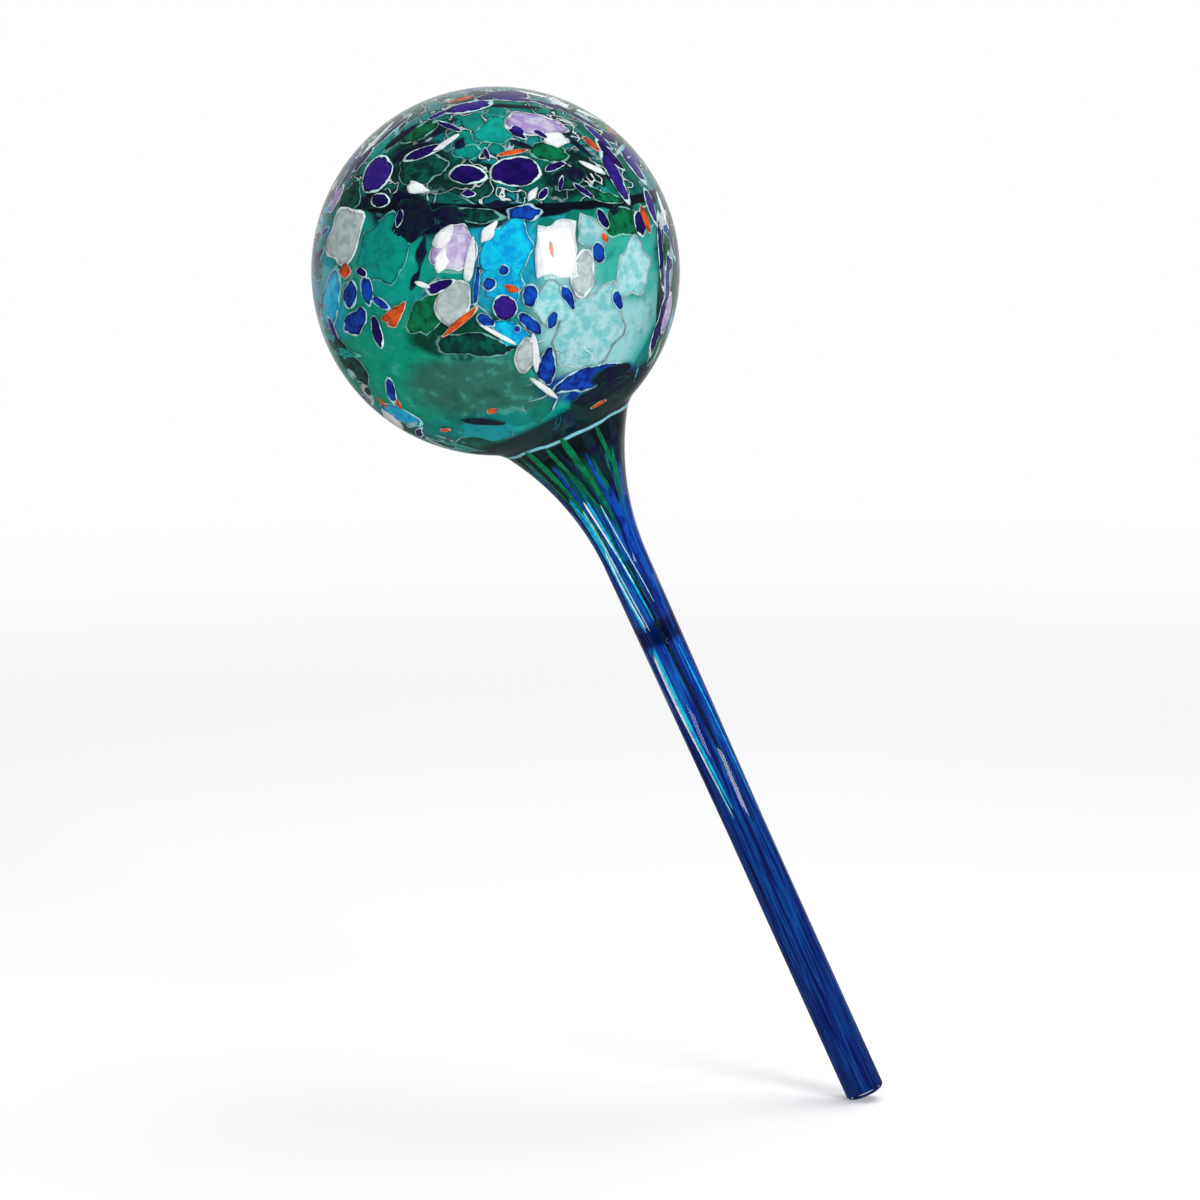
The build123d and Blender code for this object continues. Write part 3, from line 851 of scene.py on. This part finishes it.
material, tree, shader = new_material("drawn_cobalt_glass")
spot = add(tree, "TexCoord").outputs["Object"]
upright = add(tree, "Mapping", {"vector_type": "TEXTURE"}, Vector=spot,
              Rotation=stem_lean.to_euler()).outputs["Vector"]
parts = add(tree, "SeparateXYZ", Vector=upright)
angle = work_out(tree, "ARCTAN2", parts.outputs[1], parts.outputs[0])
up_stem = parts.outputs[2]
drawn = add(tree, "CombineXYZ", X=work_out(tree, "COSINE", angle), Y=work_out(tree, "SINE", angle),
            Z=work_out(tree, "MULTIPLY", up_stem, change_up_stem)).outputs[0]
bands = noise(tree, drawn, 3.2, 3.0, 0.6)
stem_colour = ramp(tree, bands, sheath_tints)
flare_colour = ramp(tree, bands, flare_tints)
up_the_neck = between(tree, up_stem, stem_top_level + flare_start, stem_top_level + flare_full)
colour = mix(tree, up_the_neck, stem_colour, flare_colour)
# Painted shade under the bulb, darkest at the sheath's top
shade_under_bulb = between(tree, up_stem, sheath_top_level - shade_under_bulb_start,
                       sheath_top_level - shade_under_bulb_full)
colour = mix(tree, shade_under_bulb, colour, night)
band_bottom, band_top = joint_level - joint_band_drop, joint_level + joint_band_rise
below_joint = between(tree, up_stem, band_bottom, band_bottom + joint_band_fade)
above_joint = between(tree, up_stem, band_top - joint_band_fade, band_top, 1.0, 0.0)
joint_band = work_out(tree, "MULTIPLY", below_joint, above_joint)
colour = mix(tree, joint_band, colour, joint_shade, "MULTIPLY")
# Painted shade, darker towards the stem's foot
shaded = between(tree, up_stem, shade_full, shade_end, 0.75, 0.0)
colour = mix(tree, shaded, colour, foot_shade, "MULTIPLY")
tree.links.new(colour, shader.inputs["Base Color"])
let_light_through(shader, sheath_clearness, sheath_roughness, layer_index)
bm = make_layer(sheath_depth, sheath_thickness, lip_level, sheath_top_level)
finish_piece(bm, "cobalt_sheath_bands", material, "cobalt", "cobalt_sheath")

# The streaks
# Chips that lay on the neck were drawn down the stem with it, to long threads that thin out and wander a
# little. They lie over the sheath, just under the skin. Some are painted light: pale threads in front stand
# in for highlights down the stem, and dark ones at its sides and down its lower middle are painted shade and
# a painted dark reflection.
streak_depth = 0.28 * mm
streak_thickness = 0.2 * mm
streak_steps = 4
streak_long_edge = 4 * mm
streak_cuts = 30
streak_drift = radians(14)
streak_bends = 2.2
streak_thinning = 0.4

# Rows give turn about the axis and width (degrees), then start and end down the stem (shares of the way from
# the sheath's top to the origin)
streak_shares = {
    "navy": [
        # Painted shade: the broad navy threads at 188 and 352 degrees lie at the stem's sides as seen from
        # the front
        (188, 40, 0.25, 1.00), (352, 40, 0.25, 1.00), (90, 30, 0.30, 0.80),
    ],
    "ink": [
        (236, 5, -0.02, 0.18), (271, 5, -0.02, 0.20), (298, 14, -0.03, 0.17), (324, 16, -0.03, 0.19),
        # Painted reflection: the ink thread at 290 degrees darkens the lower stem's middle in front
        (290, 12, 0.30, 1.00),
    ],
    "emerald": [
        (212, 9, -0.03, 0.24), (230, 7, -0.03, 0.20), (245, 10, -0.04, 0.27), (264, 6, -0.03, 0.18),
        (280, 9, -0.04, 0.24), (309, 6, -0.03, 0.16), (50, 16, -0.04, 0.40), (78, 11, -0.03, 0.55),
        (276, 4, 0.20, 0.42), (112, 14, -0.04, 0.45), (146, 9, -0.03, 0.36),
    ],
    "cobalt": [
        (221, 5, 0.00, 0.40), (255, 6, 0.02, 0.36), (294, 5, 0.02, 0.30), (310, 14, 0.12, 0.50),
        (334, 12, 0.08, 0.46), (322, 16, 0.53, 0.98),
    ],
    # Painted highlights: the aqua, cyan and white threads from about 240 to 290 degrees lie left of the
    # stem's middle in front
    "aqua": [(250, 6, 0.15, 0.48), (247, 8, 0.53, 0.97), (286, 4, 0.15, 0.42), (140, 8, 0.04, 0.75)],
    "cyan": [(240, 18, 0.11, 0.48), (254, 12, 0.52, 0.95), (322, 6, 0.53, 0.96), (268, 8, 0.13, 0.46)],
    "white": [(244, 5, 0.26, 0.47), (262, 5, 0.13, 0.36), (242, 5, 0.54, 0.86)],
}


def add_streak(target, turn, width, start, end):
    """Adds one streak: a part turn of the stem's outline, narrowed to its ends, given its thickness."""
    bm = new_chip_mesh()
    draw_outside(bm, streak_depth)
    high, low = (sheath_top_level * (1 - share) for share in (start, end))
    keep_levels(bm, low, high)
    middle, wide = radians(turn), radians(width)
    long_edges = [edge for edge in bm.edges if edge.calc_length() > streak_long_edge]
    bmesh.ops.subdivide_edges(bm, edges=long_edges, cuts=streak_cuts)
    aim = Matrix.Rotation(middle - wide / 2, 3, "Z")
    bmesh.ops.rotate(bm, cent=(0, 0, 0), matrix=aim, verts=bm.verts)
    bmesh.ops.spin(bm, geom=list(bm.verts) + list(bm.edges), cent=(0, 0, 0), axis=(0, 0, 1), angle=wide,
                   steps=streak_steps)
    for vert in bm.verts:
        share = (high - vert.co.z) / (high - low)
        offset = (atan2(vert.co.y, vert.co.x) - middle + pi) % (2 * pi) - pi
        thinned = offset * sqrt(max(0, 1 - (2 * share - 1) ** 4)) * (1 - streak_thinning * share)
        drift = streak_drift * sin(streak_bends * share + middle)
        vert.co = Matrix.Rotation(thinned - offset + drift, 3, "Z") @ vert.co
    bmesh.ops.remove_doubles(bm, verts=bm.verts, dist=merge_distance)
    bmesh.ops.recalc_face_normals(bm, faces=bm.faces)
    bmesh.ops.solidify(bm, geom=list(bm.faces), thickness=streak_thickness)
    bmesh.ops.recalc_face_normals(bm, faces=bm.faces)
    bmesh.ops.transform(bm, matrix=stem_lean, verts=bm.verts)
    scratch = bpy.data.meshes.new("streak")
    bm.to_mesh(scratch)
    bm.free()
    target.from_mesh(scratch)
    bpy.data.meshes.remove(scratch)


for colour, rows in streak_shares.items():
    for row in rows:
        add_streak(chip_meshes[colour], *row)

# The chips and streaks of each colour become one piece
# The dark green glass shares the emerald chips' node, the blue-black glass the navy chips' node, and the
# teal patches go with the gather that they were part of.
node_of_colour = {"pine": "emerald_inlays", "ink": "navy_inlays", "teal": "glass_body"}
slot_of_colour = {"pine": "emerald", "ink": "navy"}
for colour, bm in chip_meshes.items():
    finish_piece(bm, colour + "_chips", make_chip_glass(colour), slot_of_colour.get(colour, colour),
                 node_of_colour.get(colour, colour + "_inlays"), lean=False)

# The water
# It fills the bulb to above its middle and the bore down to the throat, level though the globe leans, and
# climbs a little where it meets the glass.
wall_overlap = 0.05 * mm
water_tint = (0.90, 0.985, 0.98)
water_index = 1.33

# The climb at the glass, in rings from the glass inwards: the width and drop of each
climb_rings = ((0.35 * mm, 0.6 * mm), (0.7 * mm, 0.4 * mm), (1.5 * mm, 0.2 * mm))
climb = sum(drop for width, drop in climb_rings)

clear_water = make_clear_glass("clear_water", water_tint, water_index)
bm = bmesh.new()
end = bm.verts.new((0, 0, funnel_top_level))
end = run_to(bm, end, bore_radius + wall_overlap, funnel_top_level)
draw_hollow(bm, end, wall_overlap)
turn_solid(bm)
bmesh.ops.transform(bm, matrix=stem_lean, verts=bm.verts)
surface_spot = bulb_middle + Vector((0, 0, water_above_middle + climb))
cut = cut_off(bm, surface_spot, (0, 0, 1))
rim_edges = [item for item in cut if isinstance(item, bmesh.types.BMEdge)]
surface = bmesh.ops.edgeloop_fill(bm, edges=rim_edges)["faces"]
for width, drop in climb_rings:
    bmesh.ops.inset_region(bm, faces=surface, thickness=width, depth=-drop)
bmesh.ops.recalc_face_normals(bm, faces=bm.faces)
see_through(finish_piece(bm, "water", clear_water, "water", "water_charge", lean=False))

# The studio
# A white table under soft lamps. The square highlights in the bulb come from two softboxes in front, over
# white chips that are partly painted highlight, and a fill lamp in the place of each gives the rest of its
# light without making the highlight glare.
floor_level = cad_box[0].z
floor_radius = 4.0
floor_clear_radius = 0.35
floor_fade_radius = 3 * floor_clear_radius
table_colour = (0.90, 0.90, 0.90, 1)
white = (1, 1, 1)

bm = bmesh.new()
bmesh.ops.create_circle(bm, cap_ends=True, segments=96, radius=floor_radius)
bmesh.ops.translate(bm, vec=(0, 0, floor_level), verts=bm.verts)
floor_mesh = bpy.data.meshes.new("table")
bm.to_mesh(floor_mesh)
bm.free()
floor = bpy.data.objects.new("table", floor_mesh)
bpy.context.scene.collection.objects.link(floor)

# The table turns white far away and to light that has passed the glass, and is dim where the glass mirrors it
material, tree, shader = new_material("white_table")
shader.inputs["Base Color"].default_value = table_colour
shader.inputs["Roughness"].default_value = 0.9
shader.inputs["Specular IOR Level"].default_value = 0.1
path = add(tree, "LightPath")
spot = add(tree, "TexCoord").outputs["Object"]
away = add(tree, "VectorMath", {"operation": "LENGTH"}, i0=spot).outputs["Value"]
far = between(tree, away, floor_clear_radius, floor_fade_radius)
far_seen = work_out(tree, "MULTIPLY", far, path.outputs["Is Camera Ray"])
white_share = work_out(tree, "MAXIMUM", path.outputs["Is Transmission Ray"], far_seen)
mirrored = path.outputs["Is Glossy Ray"]
behind = add(tree, "SeparateXYZ", Vector=spot).outputs[1]
far_bright = between(tree, behind, floor_clear_radius, floor_fade_radius, 0.10, 0.50)
bright = add(tree, "Mix", i0=mirrored, i2=1.0, i3=far_bright).outputs[0]
glow_share = work_out(tree, "MAXIMUM", white_share, mirrored)
glow = add(tree, "Emission", Color=white, Strength=bright)
blend = add(tree, "MixShader", i0=glow_share, i1=shader.outputs[0], i2=glow.outputs[0])
tree.links.new(blend.outputs[0], tree.nodes["Material Output"].inputs["Surface"])
floor_mesh.materials.append(material)

# The room is white to the camera, dim where the glass mirrors it, and dark overhead as seen through the glass
world = bpy.data.worlds.new("studio")
bpy.context.scene.world = world
world.use_nodes = True
tree = world.node_tree
path = add(tree, "LightPath")
heading = add(tree, "TexCoord").outputs["Generated"]
parts = add(tree, "SeparateXYZ", Vector=heading)
ceiling = between(tree, parts.outputs[2], 0.35, 0.75, 1.0, 0.12)
room = add(tree, "CombineColor", i0=ceiling, i1=ceiling, i2=ceiling).outputs[0]
soft_fill = (0.34, 0.345, 0.355)
backdrop = between(tree, parts.outputs[1], 0.60, 0.95, 0.10, 0.60)
dim_room = add(tree, "CombineColor", i0=backdrop, i1=backdrop, i2=backdrop).outputs[0]
colour = mix(tree, path.outputs["Is Transmission Ray"], soft_fill, room)
colour = mix(tree, path.outputs["Is Glossy Ray"], colour, dim_room)
colour = mix(tree, path.outputs["Is Camera Ray"], colour, white)
tree.links.new(colour, tree.nodes["Background"].inputs["Color"])


def add_softbox(name, direction, distance, width, height, power, mirrored=True):
    """A soft lamp that faces the bulb from a direction, and isn't itself in the picture."""
    data = bpy.data.lights.new(name, "AREA")
    data.shape = "RECTANGLE"
    data.size = width
    data.size_y = height
    data.energy = power
    lamp = bpy.data.objects.new(name, data)
    lamp.location = bulb_middle + Vector(direction).normalized() * distance
    lamp.rotation_euler = Vector(direction).to_track_quat("Z", "Y").to_euler()
    lamp.visible_camera = False
    lamp.visible_glossy = mirrored
    bpy.context.scene.collection.objects.link(lamp)


# Each softbox in front: its side, direction, distance, width, height, power, and the fill lamp's power
front_softboxes = [
    ("right", (0.638, -0.726, 0.261), 1.1, 0.42, 0.55, 5, 4),
    ("left", (-0.446, -0.846, 0.287), 1.2, 0.36, 0.50, 1.8, 2.2),
]
for side, *placing, power, fill_power in front_softboxes:
    add_softbox(side + "_softbox", *placing, power)
    add_softbox(side + "_fill", *placing, fill_power, mirrored=False)
add_softbox("top_softbox", (0.1, 0.25, 1.0), 1.3, 1.2, 1.0, 15, mirrored=False)

# The camera looks from a little above, as in the photograph, through a long lens
camera_distance = 1.8
view_height = 0.335
sensor_width = 36
camera_data = bpy.data.cameras.new("camera")
camera_data.sensor_width = sensor_width
camera_data.lens = sensor_width * camera_distance / view_height
camera_data.clip_start = 0.05
camera = bpy.data.objects.new("camera", camera_data)
bpy.context.scene.collection.objects.link(camera)
look_at = (cad_box[0] + cad_box[1]) / 2
back = Vector((0, -cos(sight_tilt), sin(sight_tilt)))
camera.location = look_at + back * camera_distance
camera.rotation_euler = back.to_track_quat("Z", "Y").to_euler()
bpy.context.scene.camera = camera

view = bpy.context.scene.view_settings
view.view_transform = "Standard"

# Light passes wall, layers, chips and water on its way in, and again on its way out
through_bounces = 32
bpy.context.scene.cycles.max_bounces = through_bounces
bpy.context.scene.cycles.transmission_bounces = through_bounces
bpy.context.scene.cycles.glossy_bounces = 8
